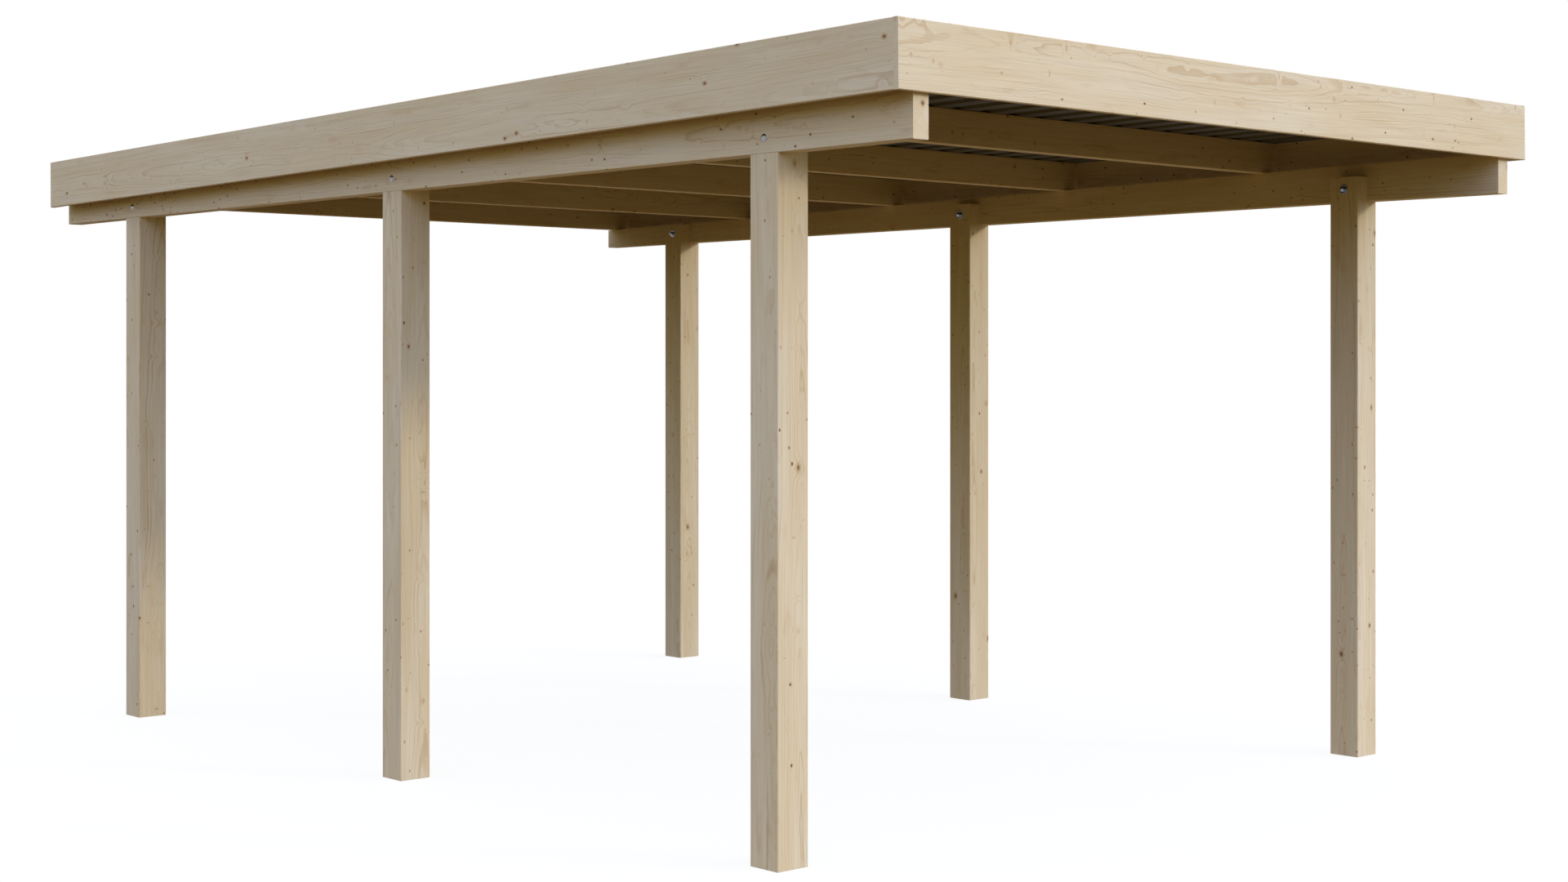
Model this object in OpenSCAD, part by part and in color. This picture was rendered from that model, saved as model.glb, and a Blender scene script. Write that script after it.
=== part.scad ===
// Open timber carport with notched posts, tapered side beams and a shallow roof behind fascia boards.
// Millimetres. X runs across the bay, Y along it with the front at -Y, Z up from the ground.

/* [Passage] */
// Clear width between the left and right posts
passage_w = 2787; // [2200:1:3600]
// Clear height under the side beams
passage_h = 2073; // [1800:1:2600]

/* [Posts] */
// Side of the square posts
post_s = 120; // [100:1:160]
// Distance between neighbouring posts along the bay, centre to centre
post_pitch = 1973; // [1400:1:2600]
// Play between the top of a post's tongue and the roof over the rear post
tongue_play = 5; // [2:1:20]

/* [Side beams] */
// Thickness of the side beams, which is also the depth of the notches in the posts
beam_t = 60; // [40:1:75]
// Height of the side beams at the front end
beam_front_h = 145; // [120:1:200]
// Height of the side beams at the rear end
beam_rear_h = 90; // [75:1:115]
// Reach of the side beams in front of the front posts
front_reach = 546; // [200:1:900]
// Reach of the side beams behind the rear posts
rear_reach = 540; // [200:1:900]
// Play between the front ends of the side beams and the front fascia
beam_end_play = 5; // [0:1:20]
// Bolt hole through beam and post
bolt_hole_d = 11; // [8:0.5:14]

/* [Rafters] */
// Thickness of the rafters
rafter_t = 45; // [30:1:70]
// Height of the rafters
rafter_h = 120; // [90:1:180]
// Reach of the rafters past the outer faces of the side beams
rafter_reach = 28; // [10:1:80]
// Distance from the rear ends of the side beams to the rear rafter
rear_rafter_inset = 21; // [5:1:120]

/* [Rim boards and fascia] */
// Thickness of the rim boards along the rafter ends
rim_t = 33; // [20:1:50]
// Height of the rim boards above the ribs of the roof sheets
rim_rise = 4; // [2:1:20]
// Thickness of the fascia boards
fascia_t = 19; // [15:1:30]
// Height of the fascia boards below the rafters
fascia_drop = 20; // [5:1:60]
// Height of the fascia boards above the ribs of the roof sheets
fascia_rise = 35; // [10:1:80]
// Reach of the side fascias behind the side beams
fascia_reach = 7; // [2:1:60]

/* [Roof sheets] */
// Thickness of the sheet metal
sheet_t = 0.6; // [0.5:0.05:1]
// Distance between neighbouring ribs
rib_pitch = 141; // [120:1:200]
// Height of the ribs
rib_h = 20; // [15:1:35]
// Width of the flat crest of a rib
crest_w = 40; // [25:1:55]
// Sideways run of a rib's flank over its full height
flank_run = 15; // [8:1:20]
// Ribs from one lap of the middle sheet to the other
middle_pitches = 8; // [4:2:12]
// Play between two sheets where one rib lies over the other
lap_play = 0.3; // [0.2:0.05:1]
// Height above the pans at which a lapped edge ends
lap_lip = 6; // [4:1:10]
// Play between the outer edges of the sheets and the rim boards
sheet_side_play = 0; // [0:1:10]
// Play between the front edge of the sheets and the front fascia
sheet_front_play = 10; // [2:1:40]
// Distance from the rear ends of the side fascias to the rear edge of the sheets
sheet_rear_inset = 5; // [0:1:20]

/* [Planing] */
// Width of the eased long edges of the timbers
arris = 2; // [1:0.5:4]

/* [Hidden] */
$fn = 48;

SPRUCE = "#d0bf9d";
DARK_SHEET = "#3b3d40";

// Overshoot of a cutting shape past the faces that it cuts
cut = 1;

// Rows of posts and of rafters, counted from the front
FRONT = 0;
MIDDLE = 1;
REAR = 2;
POST_ROWS = [FRONT, MIDDLE, REAR];
LAST_RAFTER = 5;

// Across the bay, from the posts outwards
post_outer_x = passage_w / 2 + post_s;
beam_inner_x = post_outer_x - beam_t;
rafter_end_x = post_outer_x + rafter_reach;
rim_outer_x = rafter_end_x + rim_t;
fascia_outer_x = rim_outer_x + fascia_t;

// Along the bay: the roof falls to the rear with the tapered tops of the side beams
beam_len = front_reach + REAR * post_pitch + post_s + rear_reach;
fall = atan((beam_front_h - beam_rear_h) / beam_len);
roof_len = (beam_end_play + beam_len + fascia_reach) / cos(fall);

// Heights over the sloping tops of the side beams
rib_top = rafter_h + rib_h + sheet_t;
rim_h = rib_top + rim_rise;
fascia_top = rib_top + fascia_rise;
fascia_h = fascia_drop + fascia_top;

// The origin lies on the ground under the middle of the whole outline
front_edge = beam_end_play + fascia_t * cos(fall) + fascia_drop * sin(fall);
rear_edge = roof_len * cos(fall) - beam_end_play + fascia_top * sin(fall);
beam_y = (front_edge - rear_edge) / 2;

// Posts: every tongue ends just under the roof at the lowest, rear post
first_post_y = beam_y + front_reach + post_s / 2;
rear_post_back = beam_len - rear_reach;
tongue_h = beam_front_h - rear_post_back * tan(fall) - tongue_play;
bolt_z = passage_h + tongue_h / 2;

// Rafters stand between the front fascia and the rear ends of the side beams
rafter_run = (beam_end_play + beam_len - rear_rafter_inset) / cos(fall) - rafter_t;
rafter_pitch = rafter_run / LAST_RAFTER;

// Roof sheets
sheet_edge_x = rafter_end_x - sheet_side_play;
sheet_len = roof_len - sheet_front_play - sheet_rear_inset;
lap_rib = middle_pitches / 2;
flank_slope = flank_run / rib_h;
crest_half = crest_w / 2;
fold_shift = sheet_t * tan(atan(rib_h / flank_run) / 2);
lap_crest_half = crest_half + fold_shift + lap_play;
lap_rib_h = rib_h + sheet_t + lap_play;
rib_half = crest_half + flank_run + fold_shift;
outer_rib = floor((sheet_edge_x - rib_half) / rib_pitch);

function post_y(row) = first_post_y + row * post_pitch;

// Section of a planed timber with its lower left corner at the origin
module planed(w, h) {
    polygon([
        [arris, 0], [w - arris, 0], [w, arris], [w, h - arris],
        [w - arris, h], [arris, h], [0, h - arris], [0, arris],
    ]);
}

// A section drawn in X and Z, drawn out along +Y
module along_y(length) {
    translate([0, length, 0])
        rotate([90, 0, 0])
            linear_extrude(length)
                children();
}

// A section drawn in Y and Z, drawn out along +X
module along_x(length) {
    rotate([90, 0, 90])
        linear_extrude(length)
            children();
}

// Y runs down the slope from the back of the front fascia, Z up from the tops of the side beams
module roof_frame() {
    translate([0, beam_y, passage_h + beam_front_h])
        rotate([-fall, 0, 0])
            translate([0, -beam_end_play / cos(fall), 0])
                children();
}

// The right-hand shape as drawn, or its mirror image on the left
module on_left() {
    mirror([1, 0, 0])
        children();
}

module bolt_hole(row) {
    translate([post_outer_x - post_s - cut, post_y(row), bolt_z])
        rotate([0, 90, 0])
            cylinder(d = bolt_hole_d, h = post_s + 2 * cut);
}

// Square post, notched on its outer side so that the beam lies on a shoulder against a tongue
module post(row) {
    color(SPRUCE)
        difference() {
            translate([post_outer_x - post_s, post_y(row) - post_s / 2, 0])
                linear_extrude(passage_h + tongue_h)
                    planed(post_s, post_s);
            translate([beam_inner_x, post_y(row) - post_s / 2 - cut, passage_h])
                cube([beam_t + cut, post_s + 2 * cut, tongue_h + cut]);
            bolt_hole(row);
        }
}

// Side beam with a level underside, its top sawn to the fall of the roof
module beam() {
    color(SPRUCE)
        difference() {
            intersection() {
                translate([beam_inner_x, beam_y - cut, passage_h])
                    along_y(beam_len + 2 * cut)
                        planed(beam_t, beam_front_h + arris + cut);
                translate([beam_inner_x - cut, beam_y, passage_h])
                    along_x(beam_t + 2 * cut)
                        polygon([[0, -cut], [beam_len, -cut], [beam_len, beam_rear_h], [0, beam_front_h]]);
            }
            for (row = POST_ROWS)
                bolt_hole(row);
        }
}

// Rafter on edge across both beams
module rafter(place) {
    color(SPRUCE)
        roof_frame()
            translate([-rafter_end_x, place * rafter_pitch, 0])
                along_x(2 * rafter_end_x)
                    planed(rafter_t, rafter_h);
}

// Rim board across the ends of the rafters, which carries the side fascia
module rim_board() {
    color(SPRUCE)
        roof_frame()
            translate([rafter_end_x, 0, 0])
                along_y(roof_len)
                    planed(rim_t, rim_h);
}

module side_fascia() {
    color(SPRUCE)
        roof_frame()
            translate([rim_outer_x, 0, -fascia_drop])
                along_y(roof_len)
                    planed(fascia_t, fascia_h);
}

// The front fascia runs the full width and covers the ends of the side fascias
module front_fascia() {
    color(SPRUCE)
        roof_frame()
            translate([-fascia_outer_x, -fascia_t, -fascia_drop])
                along_x(2 * fascia_outer_x)
                    planed(fascia_t, fascia_h);
}

// Underside of one rib: foot, crest, crest, foot
function rib_under(x, half, h) = [
    [x - half - flank_slope * h, 0], [x - half, h], [x + half, h], [x + half + flank_slope * h, 0],
];

// Upper side of the same rib, one sheet thickness away
function rib_over(x, half, h) = [
    for (p = rib_under(x, half, h)) p + [sign(p[0] - x) * fold_shift, sheet_t],
];

// Point on a flank at the height of a lapped edge
function lip(x, half, h, side) = [x + side * (half + flank_slope * (h - lap_lip)), lap_lip];

function ribs(from, to) = [for (i = [from:to]) i * rib_pitch];

function flat(lists) = [for (list = lists, p = list) p];

function reversed(list) = [for (i = [len(list) - 1:-1:0]) list[i]];

module sheet(under, over) {
    color(DARK_SHEET)
        roof_frame()
            translate([0, sheet_front_play, rafter_h])
                along_y(sheet_len)
                    polygon(concat(under, reversed(over)));
}

// Outer sheet, from the lapped rib to the rim board
module outer_sheet() {
    lap_x = lap_rib * rib_pitch;
    inner = ribs(lap_rib + 1, outer_rib);
    first_under = rib_under(lap_x, crest_half, rib_h);
    first_over = rib_over(lap_x, crest_half, rib_h);
    sheet(
        concat(
            [lip(lap_x, crest_half, rib_h, -1)],
            [for (i = [1:3]) first_under[i]],
            flat([for (x = inner) rib_under(x, crest_half, rib_h)]),
            [[sheet_edge_x, 0]]
        ),
        concat(
            [lip(lap_x, crest_half + fold_shift, rib_h + sheet_t, -1)],
            [for (i = [1:3]) first_over[i]],
            flat([for (x = inner) rib_over(x, crest_half, rib_h)]),
            [[sheet_edge_x, sheet_t]]
        )
    );
}

// Middle sheet, whose outermost ribs lie over the lapped ribs of the outer sheets
module middle_sheet() {
    lap_x = lap_rib * rib_pitch;
    inner = ribs(1 - lap_rib, lap_rib - 1);
    lap_under = rib_under(lap_x, lap_crest_half, lap_rib_h);
    lap_over = rib_over(lap_x, lap_crest_half, lap_rib_h);
    mirrored_under = rib_under(-lap_x, lap_crest_half, lap_rib_h);
    mirrored_over = rib_over(-lap_x, lap_crest_half, lap_rib_h);
    sheet(
        concat(
            [lip(-lap_x, lap_crest_half, lap_rib_h, -1)],
            [for (i = [1:3]) mirrored_under[i]],
            flat([for (x = inner) rib_under(x, crest_half, rib_h)]),
            [for (i = [0:2]) lap_under[i]],
            [lip(lap_x, lap_crest_half, lap_rib_h, 1)]
        ),
        concat(
            [lip(-lap_x, lap_crest_half + fold_shift, lap_rib_h + sheet_t, -1)],
            [for (i = [1:3]) mirrored_over[i]],
            flat([for (x = inner) rib_over(x, crest_half, rib_h)]),
            [for (i = [0:2]) lap_over[i]],
            [lip(lap_x, lap_crest_half + fold_shift, lap_rib_h + sheet_t, 1)]
        )
    );
}

on_left() post(FRONT);  // front_left_post
on_left() post(MIDDLE);  // middle_left_post
on_left() post(REAR);  // rear_left_post
post(FRONT);  // front_right_post
post(MIDDLE);  // middle_right_post
post(REAR);  // rear_right_post
on_left() beam();  // left_beam
beam();  // right_beam
rafter(0);  // front_rafter
rafter(1);  // second_rafter
rafter(2);  // third_rafter
rafter(3);  // fourth_rafter
rafter(4);  // fifth_rafter
rafter(LAST_RAFTER);  // rear_rafter
on_left() rim_board();  // left_rim_board
rim_board();  // right_rim_board
front_fascia();
on_left() side_fascia();  // left_fascia
side_fascia();  // right_fascia
on_left() outer_sheet();  // left_roof_sheet
middle_sheet();  // middle_roof_sheet
outer_sheet();  // right_roof_sheet
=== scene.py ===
"""Dresses an open timber carport: planed spruce, coated roof sheets, bolts and roof screws."""

import logging
import math
from dataclasses import dataclass, field
from enum import Enum

import bmesh
import bpy
from mathutils import Euler, Matrix, Vector


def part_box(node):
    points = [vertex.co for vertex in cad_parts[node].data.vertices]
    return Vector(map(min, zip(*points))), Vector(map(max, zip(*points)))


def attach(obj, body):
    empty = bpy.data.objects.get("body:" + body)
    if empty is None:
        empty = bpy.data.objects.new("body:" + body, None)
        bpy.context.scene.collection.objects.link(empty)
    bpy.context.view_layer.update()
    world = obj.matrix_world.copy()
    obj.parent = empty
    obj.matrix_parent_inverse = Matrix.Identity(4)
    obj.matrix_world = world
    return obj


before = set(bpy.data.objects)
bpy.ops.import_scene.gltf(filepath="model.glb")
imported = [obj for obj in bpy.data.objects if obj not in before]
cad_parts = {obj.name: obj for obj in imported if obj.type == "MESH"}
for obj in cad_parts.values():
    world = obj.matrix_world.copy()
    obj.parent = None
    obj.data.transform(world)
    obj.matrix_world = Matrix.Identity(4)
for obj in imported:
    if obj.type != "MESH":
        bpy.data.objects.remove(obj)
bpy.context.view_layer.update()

LOG = logging.getLogger("carport")

Tree = bpy.types.NodeTree
Socket = bpy.types.NodeSocket
Shape = bmesh.types.BMesh

MM = 0.001
BODY = "root"
WHITE = "#ffffff"
SHARP = math.radians(32.0)  # Faces that meet at more than this show an edge.
HEXAGON = 6

# Places of the Mix node's colour sockets, whose names it also gives to other sockets.
SHARE, FIRST, SECOND, MIXED = 0, 6, 7, 2

# The middle of a noise's colour.
MID_NOISE = (0.5, 0.5, 0.5)


def linear(hex_colour: str) -> tuple[float, float, float, float]:
    """Turn an sRGB hex colour into linear light.

    Args:
        hex_colour: A colour such as "#d8c7a8".

    Returns:
        Red, green, blue and an alpha of 1.
    """
    channels = [int(hex_colour[i:i + 2], 16) / 255 for i in (1, 3, 5)]
    light = [c / 12.92 if c <= 0.04045 else ((c + 0.055) / 1.055) ** 2.4 for c in channels]
    return (*light, 1.0)


def add_node(
    tree: Tree,
    kind: str,
    inputs: dict[int | str, object] | None = None,
    output: int | str = 0,
    **settings: object,
) -> Socket | None:
    """Add one node with its settings, values and links.

    Args:
        tree: The node tree that takes the node.
        kind: Blender's name for the node's type.
        inputs: Socket name or place to a value, or to the socket that feeds it.
        output: Name or place of the output that the caller wants.
        **settings: Properties of the node itself.

    Returns:
        The chosen output socket, or None from a node that has no outputs.
    """
    node = tree.nodes.new(kind)
    for name, value in settings.items():
        setattr(node, name, value)
    for name, value in (inputs or {}).items():
        if isinstance(value, Socket):
            tree.links.new(value, node.inputs[name])
        else:
            node.inputs[name].default_value = value
    return node.outputs[output] if node.outputs else None


def new_material(name: str) -> bpy.types.Material:
    """Make a material with an empty node tree.

    Args:
        name: The material's name.

    Returns:
        The new material.
    """
    material = bpy.data.materials.new(name)
    material.use_nodes = True
    material.node_tree.nodes.clear()
    return material


def paint(piece: bpy.types.Object, material: bpy.types.Material) -> None:
    """Give a whole piece one material."""
    piece.data.materials.clear()
    piece.data.materials.append(material)


def finish_mesh(
    name: str, shape: Shape, material: bpy.types.Material
) -> None:
    """Turn a bmesh into a piece that rides on the carport.

    Args:
        name: The piece's name.
        shape: The finished shape, already in its place.
        material: Its finish.
    """
    for face in shape.faces:
        face.smooth = True
    for edge in shape.edges:
        edge.smooth = edge.calc_face_angle(math.pi) < SHARP
    mesh = bpy.data.meshes.new(name)
    shape.to_mesh(mesh)
    shape.free()
    piece = bpy.data.objects.new(name, mesh)
    bpy.context.scene.collection.objects.link(piece)
    paint(piece, material)
    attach(piece, BODY)
    LOG.info("%s: %d faces", name, len(mesh.polygons))


class Grain(Enum):
    """Which way the fibres run; the value is the turn that brings them onto local Z."""

    ACROSS = (0.0, -math.pi / 2, 0.0)
    ALONG = (math.pi / 2, 0.0, 0.0)
    UPRIGHT = (0.0, 0.0, 0.0)


class Ramp(Enum):
    """How a value climbs between two limits; the value is Blender's name for it."""

    STRAIGHT = "LINEAR"
    SOFT = "SMOOTHSTEP"


@dataclass(frozen=True)
class Streaks:
    """Noise drawn out along the fibres.

    Attributes:
        across: Size of a streak across the fibres, in millimetres.
        along: Its size along the fibres, in millimetres.
        detail: How many finer sizes lie over it.
        low: The noise up to which there is no streak.
        high: The noise from which the streak is full.
        least: The result where there is no streak.
        most: The result where the streak is full.
        ramp: How the result climbs from one to the other.
    """

    across: float
    along: float
    detail: float
    low: float
    high: float
    least: float = 0.0
    most: float = 1.0
    ramp: Ramp = Ramp.SOFT

    def draw(self, tree: Tree, wood: Socket) -> Socket:
        """Draw the streaks through the stem.

        Args:
            tree: The timber's node tree.
            wood: Place in the stem, in millimetres.

        Returns:
            A number from least to most.
        """
        stretched = add_node(tree, "ShaderNodeVectorMath", {
            0: wood, 1: (1 / self.across, 1 / self.across, 1 / self.along)}, operation="MULTIPLY")
        noise = add_node(tree, "ShaderNodeTexNoise", {
            "Vector": stretched, "Scale": 1.0, "Detail": self.detail})
        return add_node(tree, "ShaderNodeMapRange", {
            "Value": noise, "From Min": self.low, "From Max": self.high,
            "To Min": self.least, "To Max": self.most}, interpolation_type=self.ramp.value)


@dataclass(frozen=True)
class Bend:
    """One size of wave in the grain.

    Attributes:
        across: Length of the wave across the fibres, in millimetres.
        along: Its length along the fibres, in millimetres.
        amount: How far it moves the grain, in millimetres.
        detail: How many finer waves lie over it.
    """

    across: float
    along: float
    amount: float
    detail: float = 1.0

    def apply(self, tree: Tree, wood: Socket, bent: Socket) -> Socket:
        """Bend the stem by this wave.

        Args:
            tree: The timber's node tree.
            wood: Place in the straight stem, in millimetres.
            bent: Place in the stem as it is bent so far.

        Returns:
            Place in the stem with this bend added.
        """
        scaled = add_node(tree, "ShaderNodeVectorMath", {
            0: wood, 1: (1 / self.across, 1 / self.across, 1 / self.along)}, operation="MULTIPLY")
        drift = add_node(tree, "ShaderNodeTexNoise", {
            "Vector": scaled, "Scale": 1.0, "Detail": self.detail}, output="Color")
        drift = add_node(tree, "ShaderNodeVectorMath", {
            0: drift, 1: MID_NOISE}, operation="SUBTRACT")
        return add_node(tree, "ShaderNodeVectorMath", {
            0: drift, 1: (2 * self.amount, 2 * self.amount, 0.0), 2: bent}, operation="MULTIPLY_ADD")


@dataclass(frozen=True)
class Knots:
    """One kind of knot, scattered through the stem.

    Attributes:
        spacing: Usual distance between two knots across the fibres, in millimetres.
        stretch: How many times longer and further apart they are along the fibres.
        smallest: Radius of the smallest one, in millimetres.
        largest: Radius of the largest one, in millimetres.
        halo: Outer radius of the tan halo, in radii of the knot.
        push: How far the rings move to pass the knot, in millimetres.
        depth: How fully the knot covers the clear wood.
        heart: Colour of its middle.
        edge: Colour of its edge.
        ring: Colour of its halo.
        halo_from: Where the halo starts to fade, in radii.
        halo_share: How fully the halo covers the clear wood, as a share of depth.
        edge_from: Where the heart starts to turn into the edge, in radii.
        edge_to: Where the edge is full, in radii.
        fade_from: Where the knot starts to fade into its halo, in radii.
        fade_to: Where it has faded, in radii.
        push_reach: How far out the rings move, in radii of the halo.
    """

    spacing: float
    stretch: float
    smallest: float
    largest: float
    halo: float
    push: float
    depth: float
    heart: str
    edge: str
    ring: str
    halo_from: float = 0.8
    halo_share: float = 0.7
    edge_from: float = 0.3
    edge_to: float = 0.9
    fade_from: float = 0.65
    fade_to: float = 1.2
    push_reach: float = 2.2

    def reach(self, tree: Tree, wood: Socket, spread: float) -> Socket:
        """Scatter the knots through the stem.

        Args:
            tree: The timber's node tree.
            wood: Place in the stem, in millimetres.
            spread: How much wider than usual the knots are spaced.

        Returns:
            Distance from the nearest knot's middle, in radii of that knot.
        """
        spacing = self.spacing * spread
        cells = add_node(tree, "ShaderNodeVectorMath", {
            0: wood, 1: (1 / spacing, 1 / spacing, 1 / (spacing * self.stretch))}, operation="MULTIPLY")
        distance = add_node(
            tree, "ShaderNodeTexVoronoi", {"Vector": cells, "Scale": 1.0}, output="Distance")
        chance = add_node(
            tree, "ShaderNodeSeparateColor", {"Color": distance.node.outputs["Color"]}, output=0)
        radius = add_node(tree, "ShaderNodeMapRange", {
            "Value": chance, "To Min": self.smallest / spacing, "To Max": self.largest / spacing})
        return add_node(tree, "ShaderNodeMath", {0: distance, 1: radius}, operation="DIVIDE")

    def shift(self, tree: Tree, reach: Socket) -> Socket:
        """Move the rings round the knots.

        Args:
            tree: The timber's node tree.
            reach: Distance from the nearest knot's middle, in radii.

        Returns:
            How far the rings move, in millimetres.
        """
        return add_node(tree, "ShaderNodeMapRange", {
            "Value": reach, "From Max": self.push_reach * self.halo, "To Min": self.push, "To Max": 0.0},
            interpolation_type=Ramp.SOFT.value)

    def cover(self, tree: Tree, colour: Socket, reach: Socket) -> Socket:
        """Colour the knots: a brown heart, its edge, and a tan halo round both.

        Args:
            tree: The timber's node tree.
            colour: The wood's colour so far.
            reach: Distance from the nearest knot's middle, in radii.

        Returns:
            The colour with the knots in it.
        """
        halo = add_node(tree, "ShaderNodeMapRange", {
            "Value": reach, "From Min": self.halo_from, "From Max": self.halo,
            "To Min": self.halo_share * self.depth, "To Max": 0.0}, interpolation_type=Ramp.SOFT.value)
        colour = add_node(tree, "ShaderNodeMix", {
            SHARE: halo, FIRST: colour, SECOND: linear(self.ring)}, output=MIXED, data_type="RGBA")
        outer = add_node(tree, "ShaderNodeMapRange", {
            "Value": reach, "From Min": self.edge_from, "From Max": self.edge_to},
            interpolation_type=Ramp.SOFT.value)
        brown = add_node(tree, "ShaderNodeMix", {
            SHARE: outer, FIRST: linear(self.heart), SECOND: linear(self.edge)},
            output=MIXED, data_type="RGBA")
        knot = add_node(tree, "ShaderNodeMapRange", {
            "Value": reach, "From Min": self.fade_from, "From Max": self.fade_to,
            "To Min": self.depth, "To Max": 0.0}, interpolation_type=Ramp.SOFT.value)
        return add_node(tree, "ShaderNodeMix", {
            SHARE: knot, FIRST: colour, SECOND: brown}, output=MIXED, data_type="RGBA")


@dataclass(frozen=True)
class Cut:
    """How one kind of timber is sawn from its stem.

    Attributes:
        pith_depth: Distance from the timber's middle to the pith, square to its broad face, in millimetres.
        pith_aside: The most that the pith lies to one side, along the broad face, in millimetres.
        knot_spacing: How much wider than usual the knots are spaced.
    """

    pith_depth: float
    pith_aside: float
    knot_spacing: float


@dataclass(frozen=True)
class PlanedSpruce:
    """Spruce planed smooth and left bare.

    The eye sees pale cream wood with thin tan latewood lines that bend into arches on flat-sawn
    faces, faint streaks along the fibres, dark pin knots and a few brown branch knots.
    The ring spacing is drawn coarser than the real 2 to 4 mm so that the lines show at this distance.
    """

    pale: str = "#dfd0b6"
    warm: str = "#dac7a6"
    latewood: str = "#b99566"
    blush: str = "#c6a37f"
    roughness: float = 0.72
    line_gloss: float = 0.1
    specular: float = 0.08
    relief_share: float = 0.25
    relief_mm: float = 0.2

    # The rings: their spacing, the stem's taper, and how spacing and strength change over the years.
    ring_mm: float = 5.5
    taper: float = 0.014
    season_rings: float = 3.5
    season_sway: float = 3.0
    weakest_year: float = 0.3
    line_from: float = 0.6
    line_peak: float = 0.93
    line_depth: float = 0.62
    bends: tuple[Bend, ...] = (Bend(330.0, 1100.0, 40.0), Bend(80.0, 340.0, 8.0), Bend(20.0, 80.0, 2.4))

    # The sawn ends: how far from the end the lines start to fade and have faded, and what is left of them.
    end_from_mm: float = 1.0
    end_to_mm: float = 0.3
    end_line: float = 0.25

    # Each timber comes from its own length of stem.
    stem_mm: float = 2900.0

    # Where the lines fade, the warmer patches, the tan blushes and the fine fibres.
    fading: Streaks = Streaks(95.0, 380.0, 1.0, 0.34, 0.58, least=0.3)
    patches: Streaks = Streaks(70.0, 620.0, 3.0, 0.3, 0.7)
    blushes: Streaks = Streaks(38.0, 130.0, 3.0, 0.58, 0.85, most=0.5)
    fibres: Streaks = Streaks(5.0, 240.0, 2.0, 0.25, 0.75, 0.93, 1.05, Ramp.STRAIGHT)

    knots: tuple[Knots, ...] = (
        # Pale marks of branches that lie across the face.
        Knots(110.0, 0.5, 1.5, 10.0, halo=2.4, push=6.0, depth=0.4,
              heart="#b28f66", edge="#a97e55", ring="#c8aa82"),
        # Brown branch knots.
        Knots(125.0, 1.5, 2.0, 8.0, halo=2.6, push=12.0, depth=0.85,
              heart="#94663f", edge="#5e3a22", ring="#b68b5e"),
        # Dark pin knots.
        Knots(43.0, 1.4, 0.8, 3.6, halo=2.2, push=3.0, depth=0.9,
              heart="#5f3b24", edge="#4f301d", ring="#b99067"),
        # Thin streaks of resin.
        Knots(52.0, 6.5, 0.2, 1.35, halo=1.8, push=0.0, depth=0.8,
              heart="#80502d", edge="#8e5d37", ring="#c09a70"),
    )

    def material(
        self, name: str, grain: Grain, centre: Vector, length: float,
        pith: tuple[float, float], cut: Cut, seed: int
    ) -> bpy.types.Material:
        """Make the finish of one timber, sawn from its own place in its own stem.

        Args:
            name: The material's name.
            grain: Which way the fibres run.
            centre: The middle of the timber, in metres.
            length: The timber's length, in millimetres.
            pith: Place of the stem's pith in the cross-section, in millimetres from the middle.
            cut: How this kind of timber is sawn.
            seed: Moves the patterns so that no two timbers match.

        Returns:
            The new material.
        """
        material = new_material(name)
        tree = material.node_tree
        turn = Euler(grain.value)
        height = self.stem_mm * seed
        shift = Vector((-pith[0], -pith[1], height)) - turn.to_matrix() @ (centre / MM)
        place = add_node(tree, "ShaderNodeTexCoord", output="Object")
        wood = add_node(tree, "ShaderNodeMapping", {
            "Vector": place, "Location": shift, "Rotation": turn, "Scale": (1 / MM,) * 3})

        reaches = [kind.reach(tree, wood, cut.knot_spacing) for kind in self.knots]
        line = self._ring_lines(tree, wood, self._ring_radius(tree, wood, reaches))
        line = self._soften_ends(tree, line, wood, height, length)
        colour = self._tones(tree, wood, line)
        for kind, reach in zip(self.knots, reaches):
            colour = kind.cover(tree, colour, reach)

        relief = add_node(tree, "ShaderNodeBump", {
            "Height": line, "Strength": self.relief_share, "Distance": self.relief_mm * MM})
        gloss = add_node(tree, "ShaderNodeMapRange", {
            "Value": line, "To Min": self.roughness, "To Max": self.roughness - self.line_gloss})
        surface = add_node(tree, "ShaderNodeBsdfPrincipled", {
            "Base Color": colour, "Roughness": gloss, "Normal": relief, "Specular IOR Level": self.specular})
        add_node(tree, "ShaderNodeOutputMaterial", {"Surface": surface})
        return material

    def _ring_radius(self, tree: Tree, wood: Socket, reaches: list[Socket]) -> Socket:
        """Measure how far out in the bent and tapered stem a place lies.

        Args:
            tree: The timber's node tree.
            wood: Place in the stem, in millimetres.
            reaches: Distance from the nearest knot of each kind, in radii.

        Returns:
            Distance from the pith, in millimetres.
        """
        bent = wood
        for bend in self.bends:
            bent = bend.apply(tree, wood, bent)
        across = add_node(tree, "ShaderNodeVectorMath", {0: bent, 1: (1.0, 1.0, 0.0)}, operation="MULTIPLY")
        radius = add_node(tree, "ShaderNodeVectorMath", {0: across}, output="Value", operation="LENGTH")
        up_stem = add_node(tree, "ShaderNodeSeparateXYZ", {"Vector": wood}, output="Z")
        radius = add_node(tree, "ShaderNodeMath", {
            0: up_stem, 1: self.taper, 2: radius}, operation="MULTIPLY_ADD")
        for kind, reach in zip(self.knots, reaches):
            radius = add_node(
                tree, "ShaderNodeMath", {0: radius, 1: kind.shift(tree, reach)}, operation="ADD")
        return radius

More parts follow.
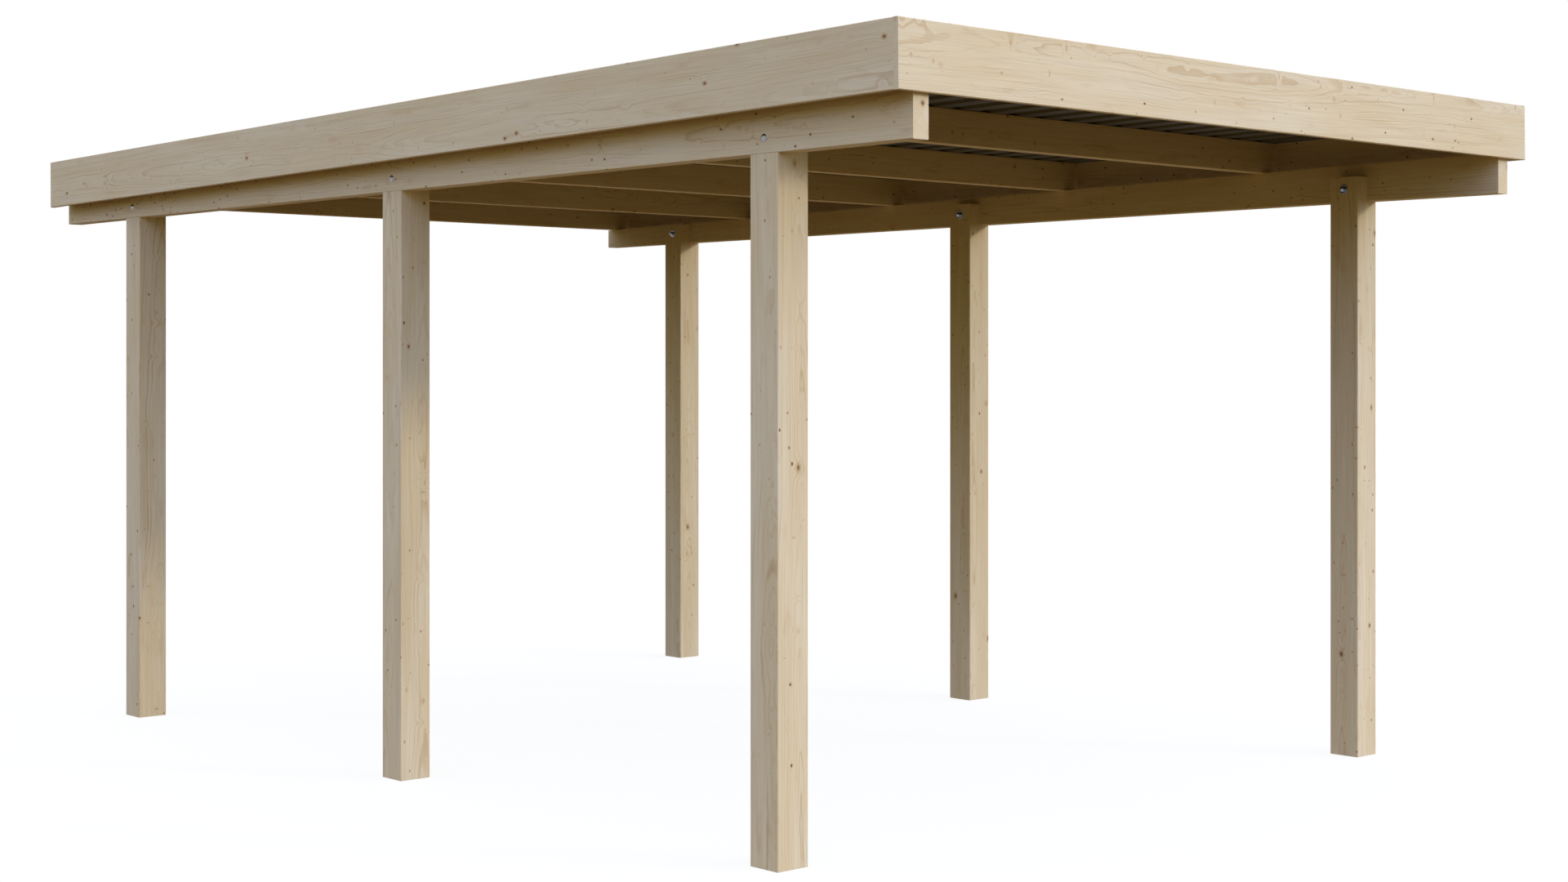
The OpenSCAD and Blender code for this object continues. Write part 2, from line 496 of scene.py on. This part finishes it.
    def _ring_lines(self, tree: Tree, wood: Socket, radius: Socket) -> Socket:
        """Draw the latewood lines of the growth rings.

        Args:
            tree: The timber's node tree.
            wood: Place in the stem, in millimetres.
            radius: Distance from the pith, in millimetres.

        Returns:
            0 in the pale earlywood, 1 on a latewood line.
        """
        season = add_node(tree, "ShaderNodeMath", {
            0: radius, 1: self.season_rings * self.ring_mm}, operation="DIVIDE")
        season = add_node(tree, "ShaderNodeTexNoise", {"W": season, "Scale": 1.0}, noise_dimensions="1D")
        radius = add_node(tree, "ShaderNodeMath", {
            0: season, 1: self.season_sway * self.ring_mm, 2: radius}, operation="MULTIPLY_ADD")
        ring = add_node(tree, "ShaderNodeMath", {0: radius, 1: self.ring_mm}, operation="DIVIDE")
        year = add_node(tree, "ShaderNodeMath", {0: ring}, operation="FLOOR")
        year = add_node(tree, "ShaderNodeTexWhiteNoise", {"W": year}, noise_dimensions="1D")
        year = add_node(tree, "ShaderNodeMapRange", {
            "Value": year, "To Min": self.weakest_year, "To Max": 1.0})
        ring = add_node(tree, "ShaderNodeMath", {0: ring}, operation="FRACT")
        rise = add_node(tree, "ShaderNodeMapRange", {
            "Value": ring, "From Min": self.line_from, "From Max": self.line_peak},
            interpolation_type=Ramp.SOFT.value)
        fall = add_node(tree, "ShaderNodeMapRange", {
            "Value": ring, "From Min": self.line_peak, "From Max": 1.0, "To Min": 1.0, "To Max": 0.0})
        line = add_node(tree, "ShaderNodeMath", {0: rise, 1: fall}, operation="MULTIPLY")
        line = add_node(tree, "ShaderNodeMath", {0: line, 1: year}, operation="MULTIPLY")
        return add_node(
            tree, "ShaderNodeMath", {0: line, 1: self.fading.draw(tree, wood)}, operation="MULTIPLY")

    def _soften_ends(
        self, tree: Tree, line: Socket, wood: Socket, middle: float, length: float
    ) -> Socket:
        """Let the rings fade on the sawn ends, where fine saw marks cover them.

        Args:
            tree: The timber's node tree.
            line: 1 on a latewood line.
            wood: Place in the stem, in millimetres.
            middle: Place of the timber's middle along the stem.
            length: The timber's length.

        Returns:
            The softened lines.
        """
        along = add_node(tree, "ShaderNodeSeparateXYZ", {"Vector": wood}, output="Z")
        along = add_node(tree, "ShaderNodeMath", {0: along, 1: middle}, operation="SUBTRACT")
        along = add_node(tree, "ShaderNodeMath", {0: along}, operation="ABSOLUTE")
        kept = add_node(tree, "ShaderNodeMapRange", {
            "Value": along, "To Min": 1.0, "To Max": self.end_line,
            "From Min": length / 2 - self.end_from_mm, "From Max": length / 2 - self.end_to_mm})
        return add_node(tree, "ShaderNodeMath", {0: line, 1: kept}, operation="MULTIPLY")

    def _tones(self, tree: Tree, wood: Socket, line: Socket) -> Socket:
        """Colour the clear wood between the knots.

        Args:
            tree: The timber's node tree.
            wood: Place in the stem, in millimetres.
            line: 1 on a latewood line.

        Returns:
            The clear wood's colour.
        """
        colour = add_node(tree, "ShaderNodeMix", {
            SHARE: self.patches.draw(tree, wood), FIRST: linear(self.pale), SECOND: linear(self.warm)},
            output=MIXED, data_type="RGBA")
        depth = add_node(tree, "ShaderNodeMath", {0: line, 1: self.line_depth}, operation="MULTIPLY")
        colour = add_node(tree, "ShaderNodeMix", {
            SHARE: depth, FIRST: colour, SECOND: linear(self.latewood)}, output=MIXED, data_type="RGBA")
        colour = add_node(tree, "ShaderNodeMix", {
            SHARE: self.blushes.draw(tree, wood), FIRST: colour, SECOND: linear(self.blush)},
            output=MIXED, data_type="RGBA")
        shade = self.fibres.draw(tree, wood)
        return add_node(tree, "ShaderNodeVectorMath", {0: colour, "Scale": shade}, operation="SCALE")


@dataclass(frozen=True)
class CoatedSheet:
    """Roll-formed steel sheet with a matt anthracite coating.

    The eye sees a dark neutral grey with a fine grit in the paint and a soft, low sheen.
    The grit is drawn coarser than the real one, which is too fine to show at this distance.
    """

    dark: str = "#5c5b58"
    light: str = "#696764"
    grit_mm: float = 1.6
    grit_detail: float = 2.0
    grit_relief: float = 0.15
    grit_height_mm: float = 0.05
    cloud_mm: float = 1000.0 / 3
    cloud_detail: float = 4.0
    cloud_share: float = 0.6
    tone_from: float = 0.5
    tone_to: float = 1.1
    smoothest: float = 0.49
    roughest: float = 0.63
    specular: float = 0.008

    def material(self, name: str) -> bpy.types.Material:
        """Make the finish.

        Args:
            name: The material's name.

        Returns:
            The new material.
        """
        material = new_material(name)
        tree = material.node_tree
        place = add_node(tree, "ShaderNodeTexCoord", output="Object")
        grit = add_node(tree, "ShaderNodeTexNoise", {
            "Vector": place, "Scale": 1 / (self.grit_mm * MM), "Detail": self.grit_detail})
        cloud = add_node(tree, "ShaderNodeTexNoise", {
            "Vector": place, "Scale": 1 / (self.cloud_mm * MM), "Detail": self.cloud_detail})
        tone = add_node(tree, "ShaderNodeMath", {
            0: cloud, 1: self.cloud_share, 2: grit}, operation="MULTIPLY_ADD")
        tone = add_node(tree, "ShaderNodeMapRange", {
            "Value": tone, "From Min": self.tone_from, "From Max": self.tone_to})
        colour = add_node(tree, "ShaderNodeMix", {
            SHARE: tone, FIRST: linear(self.dark), SECOND: linear(self.light)},
            output=MIXED, data_type="RGBA")
        gloss = add_node(tree, "ShaderNodeMapRange", {
            "Value": cloud, "To Min": self.smoothest, "To Max": self.roughest})
        relief = add_node(tree, "ShaderNodeBump", {
            "Height": grit, "Strength": self.grit_relief, "Distance": self.grit_height_mm * MM})
        surface = add_node(tree, "ShaderNodeBsdfPrincipled", {
            "Base Color": colour, "Roughness": gloss, "Normal": relief, "Specular IOR Level": self.specular})
        add_node(tree, "ShaderNodeOutputMaterial", {"Surface": surface})
        return material


@dataclass(frozen=True)
class ZincPlate:
    """Bright zinc-plated steel fasteners.

    The eye sees a cool silver grey, softly clouded by the plating, with clear highlights.
    """

    bright: str = "#a4a5a6"
    cloudy: str = "#66676a"
    cloud_mm: float = 4.0
    cloud_detail: float = 3.0
    smoothest: float = 0.14
    roughest: float = 0.26

    def material(self, name: str) -> bpy.types.Material:
        """Make the finish.

        Args:
            name: The material's name.

        Returns:
            The new material.
        """
        material = new_material(name)
        tree = material.node_tree
        place = add_node(tree, "ShaderNodeTexCoord", output="Object")
        cloud = add_node(tree, "ShaderNodeTexNoise", {
            "Vector": place, "Scale": 1 / (self.cloud_mm * MM), "Detail": self.cloud_detail})
        colour = add_node(tree, "ShaderNodeMix", {
            SHARE: cloud, FIRST: linear(self.bright), SECOND: linear(self.cloudy)},
            output=MIXED, data_type="RGBA")
        gloss = add_node(tree, "ShaderNodeMapRange", {
            "Value": cloud, "To Min": self.smoothest, "To Max": self.roughest})
        surface = add_node(tree, "ShaderNodeBsdfPrincipled", {
            "Base Color": colour, "Roughness": gloss, "Metallic": 1.0})
        add_node(tree, "ShaderNodeOutputMaterial", {"Surface": surface})
        return material


@dataclass(frozen=True)
class SealRubber:
    """Black sealing rubber.

    The eye sees a matt near-black with a faint dusty bloom.
    """

    black: str = "#1d1e1f"
    dusty: str = "#303132"
    bloom_mm: float = 3.0
    bloom_detail: float = 2.0
    roughness: float = 0.8

    def material(self, name: str) -> bpy.types.Material:
        """Make the finish.

        Args:
            name: The material's name.

        Returns:
            The new material.
        """
        material = new_material(name)
        tree = material.node_tree
        place = add_node(tree, "ShaderNodeTexCoord", output="Object")
        bloom = add_node(tree, "ShaderNodeTexNoise", {
            "Vector": place, "Scale": 1 / (self.bloom_mm * MM), "Detail": self.bloom_detail})
        colour = add_node(tree, "ShaderNodeMix", {
            SHARE: bloom, FIRST: linear(self.black), SECOND: linear(self.dusty)},
            output=MIXED, data_type="RGBA")
        surface = add_node(tree, "ShaderNodeBsdfPrincipled", {
            "Base Color": colour, "Roughness": self.roughness})
        add_node(tree, "ShaderNodeOutputMaterial", {"Surface": surface})
        return material


@dataclass
class Timbers:
    """The posts, beams, rafters, rim boards and fascia boards of the frame.

    Attributes:
        finish: What they are made of.
        pith_turn: How the side on which the pith lies changes from timber to timber, in radians.
        cuts: How each kind of timber is sawn, by the end of its nodes' names.
    """

    finish: PlanedSpruce = field(default_factory=PlanedSpruce)
    pith_turn: float = 2.4
    cuts: dict[str, Cut] = field(default_factory=lambda: {
        "post": Cut(38.0, 30.0, 0.95),
        "beam": Cut(46.0, 34.0, 0.8),
        "rafter": Cut(44.0, 30.0, 0.95),
        "rim_board": Cut(50.0, 30.0, 1.0),
        "fascia": Cut(64.0, 62.0, 1.0),
    })

    def dress(self) -> None:
        """Give every timber its own spruce finish."""
        seed = 0
        for kind, cut in self.cuts.items():
            for name in sorted(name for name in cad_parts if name.endswith(kind)):
                seed += 1
                low, high = (Vector(corner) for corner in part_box(name))
                grain = self._grain(high - low)
                pith = self._pith(grain, high - low, cut, seed)
                material = self.finish.material(
                    f"planed_spruce_{name}", grain, (low + high) / 2, max(high - low) / MM, pith, cut, seed)
                paint(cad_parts[name], material)
                LOG.info("%s: spruce, %s", name, grain.name.lower())

    def _pith(self, grain: Grain, size: Vector, cut: Cut, seed: int) -> tuple[float, float]:
        """Choose on which side of the timber the pith lies.

        Args:
            grain: Which way the fibres run.
            size: The timber's outer size.
            cut: How this kind of timber is sawn.
            seed: Changes the side from timber to timber.

        Returns:
            The pith's place in the turned cross-section, in millimetres from the timber's middle.
        """
        turned = Euler(grain.value).to_matrix() @ size
        depth = cut.pith_depth if seed % 2 else -cut.pith_depth
        aside = cut.pith_aside * math.cos(self.pith_turn * seed)
        return (depth, aside) if abs(turned.x) <= abs(turned.y) else (aside, depth)

    @staticmethod
    def _grain(size: Vector) -> Grain:
        """The fibres run along the longest side."""
        longest = max(range(3), key=lambda axis: size[axis])
        return (Grain.ACROSS, Grain.ALONG, Grain.UPRIGHT)[longest]


@dataclass
class RoofSheets:
    """The ribbed sheets, which keep their shape from the frame."""

    finish: CoatedSheet = field(default_factory=CoatedSheet)

    def dress(self) -> None:
        """Coat every sheet."""
        material = self.finish.material("matt_coated_steel")
        for name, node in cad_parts.items():
            if "sheet" in name:
                paint(node, material)
                LOG.info("%s: coated steel", name)


@dataclass
class CarriageBolts:
    """A dome-headed bolt, washer and nut through each post's tongue and its beam, in millimetres."""

    finish: ZincPlate = field(default_factory=ZincPlate)
    shank_d: float = 10.0
    length: float = 142.0
    head_d: float = 24.6
    head_h: float = 7.0
    rim_h: float = 0.9
    dome_steps: int = 8
    thread_pitch: float = 1.5
    thread_depth: float = 0.8
    thread_len: float = 24.0
    washer_d: float = 34.0
    washer_hole_d: float = 11.0
    washer_t: float = 3.0
    washer_ease: float = 0.5
    nut_across_flats: float = 17.0
    nut_h: float = 8.0
    nut_play: float = 0.1
    nut_ease: float = 0.8
    nut_ease_steps: int = 2
    nut_rim_share: float = 0.45
    nut_side_cuts: int = 3
    steps: int = 40
    weld: float = 1e-4

    def build(self) -> None:
        """Make the fasteners of all six posts."""
        material = self.finish.material("zinc_plated_steel")
        for side, sign in (("left", -1.0), ("right", 1.0)):
            beam_low, beam_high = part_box(f"{side}_beam")
            outer_x = beam_low[0] if sign < 0 else beam_high[0]
            for row in ("front", "middle", "rear"):
                low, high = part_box(f"{row}_{side}_post")
                inner_x = high[0] if sign < 0 else low[0]
                centre_y = (low[1] + high[1]) / 2
                centre_z = (beam_low[2] + high[2]) / 2
                tag = f"{row}_{side}"
                outside = self._place(Vector((outer_x, centre_y, centre_z)), sign)
                inside = self._place(Vector((inner_x, centre_y, centre_z)), -sign)
                for part, shape, spot in (
                    ("carriage_bolt", self._bolt(), outside),
                    ("bolt_washer", self._washer(), inside),
                    ("bolt_nut", self._nut(), inside),
                ):
                    bmesh.ops.transform(shape, matrix=spot, verts=shape.verts)
                    bmesh.ops.recalc_face_normals(shape, faces=shape.faces)
                    finish_mesh(f"{tag}_{part}", shape, material)
                LOG.info("%s bolt: grip %.0f mm", tag, abs(outer_x - inner_x) / MM)

    @staticmethod
    def _place(point: Vector, sign: float) -> Matrix:
        """Turn local +Z to point along X with that sign, scale from millimetres and move to the point."""
        turn = Matrix.Rotation(sign * math.pi / 2, 4, "Y")
        return Matrix.Translation(point) @ turn @ Matrix.Scale(MM, 4)

    def _spin(self, outline: list[tuple[float, float]]) -> Shape:
        """Turn an outline of radius and height about Z.

        Args:
            outline: The outline's corners from one end to the other.

        Returns:
            The turned shape, in millimetres.
        """
        shape = bmesh.new()
        corners = [shape.verts.new((radius, 0.0, height)) for radius, height in outline]
        edges = [shape.edges.new(pair) for pair in zip(corners, corners[1:])]
        bmesh.ops.spin(
            shape, geom=corners + edges, cent=(0, 0, 0), axis=(0, 0, 1), angle=math.tau,
            steps=self.steps, use_merge=True)
        bmesh.ops.remove_doubles(shape, verts=shape.verts, dist=self.weld)
        return shape

    def _bolt(self) -> Shape:
        """Make a dome head on the beam's outer face, and a shank that ends in a thread.

        Returns:
            The bolt, with the underside of its head at height 0.
        """
        head_r, shank_r = self.head_d / 2, self.shank_d / 2
        rise = self.head_h - self.rim_h
        ball_r = (head_r ** 2 + rise ** 2) / (2 * rise)
        arc = math.asin(head_r / ball_r)
        angles = [arc * step / self.dome_steps for step in range(self.dome_steps + 1)]
        dome = [
            (ball_r * math.sin(angle), self.head_h - ball_r * (1 - math.cos(angle))) for angle in angles]
        turns = int(self.thread_len / self.thread_pitch)
        start = -self.length + self.thread_len
        thread = []
        for turn in range(turns):
            crest = start - turn * self.thread_pitch
            thread.append((shank_r, crest))
            thread.append((shank_r - self.thread_depth, crest - self.thread_pitch / 2))
        tip = [(shank_r - self.thread_depth, -self.length), (0.0, -self.length)]
        return self._spin(dome + [(head_r, 0.0), (shank_r, 0.0)] + thread + tip)

    def _washer(self) -> Shape:
        """Make a flat round washer that lies against the post.

        Returns:
            The washer, standing on height 0.
        """
        inner, outer, thick = self.washer_hole_d / 2, self.washer_d / 2, self.washer_t
        return self._spin([
            (inner, 0.0), (outer, 0.0), (outer, thick - self.washer_ease),
            (outer - self.washer_ease, thick), (inner, thick), (inner, 0.0)])

    def _nut(self) -> Shape:
        """Make a hexagon nut with its outer corners eased.

        Returns:
            The nut, standing on the washer.
        """
        shape = bmesh.new()
        corner_r = self.nut_across_flats / math.sqrt(3)
        hexagon = bmesh.ops.create_circle(shape, segments=HEXAGON, radius=corner_r)
        outer = list({edge for vert in hexagon["verts"] for edge in vert.link_edges})
        bmesh.ops.subdivide_edges(shape, edges=outer, cuts=self.nut_side_cuts)
        outer = list(shape.edges)
        hole = bmesh.ops.create_circle(
            shape, segments=HEXAGON * (self.nut_side_cuts + 1), radius=self.shank_d / 2 + self.nut_play)
        inner = list({edge for vert in hole["verts"] for edge in vert.link_edges})
        bmesh.ops.bridge_loops(shape, edges=outer + inner)
        raised = bmesh.ops.extrude_face_region(shape, geom=list(shape.faces))
        top = [item for item in raised["geom"] if isinstance(item, bmesh.types.BMVert)]
        bmesh.ops.translate(shape, verts=top, vec=(0.0, 0.0, self.nut_h))
        bmesh.ops.recalc_face_normals(shape, faces=shape.faces)
        rim_r = self.nut_across_flats * self.nut_rim_share
        rim = [
            edge for edge in shape.edges
            if all(vert.co.z > self.nut_h / 2 and vert.co.xy.length > rim_r for vert in edge.verts)
        ]
        bmesh.ops.bevel(
            shape, geom=rim, offset=self.nut_ease, offset_type="OFFSET", affect="EDGES",
            segments=self.nut_ease_steps, profile=0.5, material=-1)
        bmesh.ops.translate(shape, verts=shape.verts, vec=(0.0, 0.0, self.washer_t))
        return shape


@dataclass
class RoofScrews:
    """Screws with sealing washers that hold the pans of the sheets to every rafter, in millimetres."""

    head_finish: CoatedSheet = field(default_factory=CoatedSheet)
    seal_finish: SealRubber = field(default_factory=SealRubber)
    rib_pitch: float = 141.0
    pans_per_screw: int = 2
    edge_clear: float = 40.0
    sheet_t: float = 0.6
    seal_d: float = 16.0
    seal_t: float = 2.4
    flange_d: float = 14.5
    flange_t: float = 1.4
    disc_draft: float = 0.6
    head_across_flats: float = 8.0
    head_h: float = 5.0
    head_draft: float = 0.2
    steps: int = 20

    def build(self) -> None:
        """Make all heads as one mesh and all seals as another."""
        heads, seals = bmesh.new(), bmesh.new()
        rafters = [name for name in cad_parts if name.endswith("rafter")]
        fall = self._fall()
        count = 0
        for name in rafters:
            low, high = (Vector(corner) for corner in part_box(name))
            for x in self._places():
                spot = Vector((x, (low.y + high.y) / 2, high.z + self.sheet_t * MM))
                place = Matrix.Translation(spot) @ Matrix.Rotation(-fall, 4, "X") @ Matrix.Scale(MM, 4)
                self._disc(seals, place, self.seal_d, self.seal_t, 0.0)
                self._disc(heads, place, self.flange_d, self.flange_t, self.seal_t)
                self._hexagon(heads, place)
                count += 1
        finish_mesh("roof_screw_heads", heads, self.head_finish.material("screw_coating"))
        finish_mesh("roof_screw_seals", seals, self.seal_finish.material("seal_rubber"))
        LOG.info("%d roof screws", count)

    @staticmethod
    def _fall() -> float:
        """The roof's slope, from the heights of the first and last rafters, in radians."""
        front, rear = (Vector(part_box(name)[1]) for name in ("front_rafter", "rear_rafter"))
        return math.atan2(front.z - rear.z, rear.y - front.y)

    def _places(self) -> list[float]:
        """Find the pans that take a screw.

        Returns:
            Their middles across the roof, in metres.
        """
        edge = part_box("right_roof_sheet")[1][0] - self.edge_clear * MM
        pans = int(edge / (self.rib_pitch * MM))
        middles = [(i + 0.5) * self.rib_pitch * MM for i in range(-pans - 1, pans + 1)]
        return [x for x in middles if abs(x) < edge][::self.pans_per_screw]

    def _disc(self, shape: Shape, place: Matrix, across: float, thick: float, base: float) -> None:
        """Add one flat round disc.

        Args:
            shape: The mesh that takes it.
            place: Its place on the roof.
            across: Its diameter.
            thick: Its thickness.
            base: The height of its underside over the sheet.
        """
        lift = Matrix.Translation((0.0, 0.0, base + thick / 2))
        bmesh.ops.create_cone(
            shape, cap_ends=True, segments=self.steps, radius1=across / 2,
            radius2=across / 2 - self.disc_draft, depth=thick, matrix=place @ lift)

    def _hexagon(self, shape: Shape, place: Matrix) -> None:
        """Add one hexagon head on its flange.

        Args:
            shape: The mesh that takes it.
            place: The screw's place on the roof.
        """
        corner_r = self.head_across_flats / math.sqrt(3)
        lift = Matrix.Translation((0.0, 0.0, self.seal_t + self.flange_t + self.head_h / 2))
        bmesh.ops.create_cone(
            shape, cap_ends=True, segments=HEXAGON, radius1=corner_r,
            radius2=corner_r - self.head_draft, depth=self.head_h, matrix=place @ lift)


@dataclass(frozen=True)
class Light:
    """One light's sRGB colour and its strength."""

    colour: str
    strength: float

    def radiance(self) -> tuple[float, float, float, float]:
        """The light in linear colour, with an alpha of 1."""
        red, green, blue, _ = linear(self.colour)
        return (red * self.strength, green * self.strength, blue * self.strength, 1.0)


@dataclass
class Studio:
    """Floor, light and camera, in metres.

    The limits of the sky's parts are the height, or the distance to the rear, of a direction of length 1.
    """

    # The floor, and the warm light that it glows with in place of light bounced off the ground: most of it
    # from the ground before the middle posts.
    floor_size: float = 120.0
    floor_glow: Light = Light(WHITE, 1.02)
    floor_glow_share: float = 0.88
    near_ground: Light = Light("#ffd67c", 0.235)
    far_ground: Light = Light("#ffcb76", 0.14)
    ground_ahead: float = 1.6
    ground_near: float = 1.0
    ground_reach: float = 4.6

    # The sky: warm and dim at the horizon, cool above it, neutral overhead, dimmer and warmer to the rear.
    horizon: Light = Light("#fcf9a0", 0.6)
    sky: Light = Light("#c0d2ff", 2.12)
    sky_rise: float = 0.41
    front_tint: Light = Light(WHITE, 1.08)
    rear_tint: Light = Light("#fffad8", 0.72)
    rear_from: float = -0.3
    rear_to: float = 0.7
    zenith: Light = Light("#f7f8ff", 0.93)
    zenith_from: float = 0.46
    zenith_to: float = 0.85

    # The key light and the glow of the sky round it.
    glow: Light = Light("#e6f3f8", 1.4)
    glow_focus: float = 8.0
    key: Light = Light("#ffeec8", 0.94)
    key_azimuth_deg: float = 34.0
    key_elevation_deg: float = 16.35
    key_spread_deg: float = 5.5

    # The camera, with its focal length and the horizon's row in pixels of the photograph.
    camera_place: tuple[float, float, float] = (-5.9635, -6.9541, 1.4606)
    camera_yaw_deg: float = 42.217
    focal_px: float = 2827.9
    horizon_px: float = 447.06
    image_px: tuple[int, int] = (1920, 1080)
    sensor_mm: float = 36.0

    def build(self) -> None:
        """Set the stage and point the camera."""
        bpy.context.scene.view_settings.view_transform = "Standard"
        self._floor()
        self._sky()
        self._key()
        self._camera()

    @staticmethod
    def _seen(tree: Tree) -> Socket:
        """Tell the rays that show the background from those that light the object.

        Args:
            tree: The floor's or the world's node tree.

        Returns:
            1 where a ray comes from the camera, a reflection or a refraction.
        """
        path = add_node(tree, "ShaderNodeLightPath", output="Is Camera Ray")
        outputs = path.node.outputs
        seen = add_node(tree, "ShaderNodeMath", {
            0: path, 1: outputs["Is Glossy Ray"]}, operation="MAXIMUM")
        return add_node(tree, "ShaderNodeMath", {
            0: seen, 1: outputs["Is Transmission Ray"]}, operation="MAXIMUM")

    def _floor(self) -> None:
        """Lay a pale floor that shows as white with a faint shadow and glows with warm, dim light in place
        of light bounced off the ground.
        """
        shape = bmesh.new()
        bmesh.ops.create_grid(shape, x_segments=1, y_segments=1, size=self.floor_size / 2)
        mesh = bpy.data.meshes.new("floor")
        shape.to_mesh(mesh)
        shape.free()
        floor = bpy.data.objects.new("floor", mesh)
        bpy.context.scene.collection.objects.link(floor)
        material = new_material("pale_floor")
        tree = material.node_tree
        place = add_node(tree, "ShaderNodeTexCoord", output="Object")
        place = add_node(tree, "ShaderNodeMapping", {
            "Vector": place, "Location": (0.0, self.ground_ahead, 0.0)})
        away = add_node(tree, "ShaderNodeVectorMath", {0: place}, output="Value", operation="LENGTH")
        away = add_node(tree, "ShaderNodeMapRange", {
            "Value": away, "From Min": self.ground_near, "From Max": self.ground_reach},
            interpolation_type=Ramp.SOFT.value)
        colour = add_node(tree, "ShaderNodeMix", {
            SHARE: away, FIRST: self.near_ground.radiance(), SECOND: self.far_ground.radiance()},
            output=MIXED, data_type="RGBA")
        # Painted bounce: towards the object the floor glows with this warm light, brighter near the carport,
        # whatever shadow falls on it.
        bounce_glow = add_node(tree, "ShaderNodeEmission", {"Color": colour})
        matt = add_node(tree, "ShaderNodeBsdfDiffuse", {"Color": linear(WHITE)})
        glow = add_node(tree, "ShaderNodeEmission", {
            "Color": linear(self.floor_glow.colour), "Strength": self.floor_glow.strength})
        shown = add_node(tree, "ShaderNodeMixShader", {0: self.floor_glow_share, 1: matt, 2: glow})
        surface = add_node(tree, "ShaderNodeMixShader", {0: self._seen(tree), 1: bounce_glow, 2: shown})
        add_node(tree, "ShaderNodeOutputMaterial", {"Surface": surface})
        paint(floor, material)

    def _sky(self) -> None:
        """Hang a soft dome of daylight, shown as white."""
        world = bpy.data.worlds.new("soft_daylight")
        bpy.context.scene.world = world
        world.use_nodes = True
        tree = world.node_tree
        tree.nodes.clear()
        way = add_node(tree, "ShaderNodeTexCoord", output="Generated")
        dome = add_node(tree, "ShaderNodeVectorMath", {
            0: self._dome(tree, way), 1: self._glow(tree, way)}, operation="ADD")
        light = add_node(tree, "ShaderNodeBackground", {"Color": dome})
        white = add_node(tree, "ShaderNodeBackground", {"Color": linear(WHITE)})
        surface = add_node(tree, "ShaderNodeMixShader", {0: self._seen(tree), 1: light, 2: white})
        add_node(tree, "ShaderNodeOutputWorld", {"Surface": surface})

    def _dome(self, tree: Tree, way: Socket) -> Socket:
        """Colour the sky from the horizon to the zenith and from front to rear.

        Args:
            tree: The world's node tree.
            way: The direction that is looked in.

        Returns:
            The sky's light in that direction.
        """
        up = add_node(tree, "ShaderNodeSeparateXYZ", {"Vector": way}, output="Z")
        high = add_node(tree, "ShaderNodeMapRange", {
            "Value": up, "From Max": self.sky_rise}, interpolation_type=Ramp.SOFT.value)
        dome = add_node(tree, "ShaderNodeMix", {
            SHARE: high, FIRST: self.horizon.radiance(), SECOND: self.sky.radiance()},
            output=MIXED, data_type="RGBA")
        back = add_node(tree, "ShaderNodeMapRange", {
            "Value": up.node.outputs["Y"], "From Min": self.rear_from, "From Max": self.rear_to},
            interpolation_type=Ramp.SOFT.value)
        tint = add_node(tree, "ShaderNodeMix", {
            SHARE: back, FIRST: self.front_tint.radiance(), SECOND: self.rear_tint.radiance()},
            output=MIXED, data_type="RGBA")
        dome = add_node(tree, "ShaderNodeVectorMath", {0: dome, 1: tint}, operation="MULTIPLY")
        top = add_node(tree, "ShaderNodeMapRange", {
            "Value": up, "From Min": self.zenith_from, "From Max": self.zenith_to},
            interpolation_type=Ramp.SOFT.value)
        return add_node(tree, "ShaderNodeMix", {
            SHARE: top, FIRST: dome, SECOND: self.zenith.radiance()}, output=MIXED, data_type="RGBA")

    def _glow(self, tree: Tree, way: Socket) -> Socket:
        """Brighten the sky round the key light.

        Args:
            tree: The world's node tree.
            way: The direction that is looked in.

        Returns:
            The light to add in that direction.
        """
        key_way = self._key_turn().to_matrix() @ Vector((0.0, 0.0, 1.0))
        near = add_node(tree, "ShaderNodeVectorMath", {
            0: way, 1: key_way}, output="Value", operation="DOT_PRODUCT")
        near = add_node(tree, "ShaderNodeMath", {0: near, 1: 0.0}, operation="MAXIMUM")
        near = add_node(tree, "ShaderNodeMath", {0: near, 1: self.glow_focus}, operation="POWER")
        return add_node(tree, "ShaderNodeVectorMath", {
            0: self.glow.radiance()[:3], "Scale": near}, operation="SCALE")

    def _key(self) -> None:
        """Hang a broad low sun at the front right."""
        lamp = bpy.data.lights.new("key", "SUN")
        lamp.energy = self.key.strength
        lamp.color = linear(self.key.colour)[:3]
        lamp.angle = math.radians(self.key_spread_deg)
        key = bpy.data.objects.new("key", lamp)
        bpy.context.scene.collection.objects.link(key)
        key.rotation_euler = self._key_turn()

    def _key_turn(self) -> Euler:
        """The turn that points local Z at the key light."""
        return Euler((math.radians(90.0 - self.key_elevation_deg), 0.0, math.radians(self.key_azimuth_deg)))

    def _camera(self) -> None:
        """Place the camera as for the photograph: level, with its lens shifted down."""
        width, height = self.image_px
        lens = bpy.data.cameras.new("camera")
        lens.sensor_width = self.sensor_mm
        lens.lens = self.focal_px / width * self.sensor_mm
        lens.shift_y = (self.horizon_px - height / 2) / width
        camera = bpy.data.objects.new("camera", lens)
        bpy.context.scene.collection.objects.link(camera)
        camera.location = self.camera_place
        camera.rotation_euler = (math.pi / 2, 0.0, -math.radians(self.camera_yaw_deg))
        bpy.context.scene.camera = camera


def main() -> None:
    """Build the carport's looks piece by piece."""
    logging.basicConfig(level=logging.INFO, format="%(name)s %(message)s")
    Studio().build()
    Timbers().dress()
    RoofSheets().dress()
    CarriageBolts().build()
    RoofScrews().build()


if __name__ == "__main__":
    main()
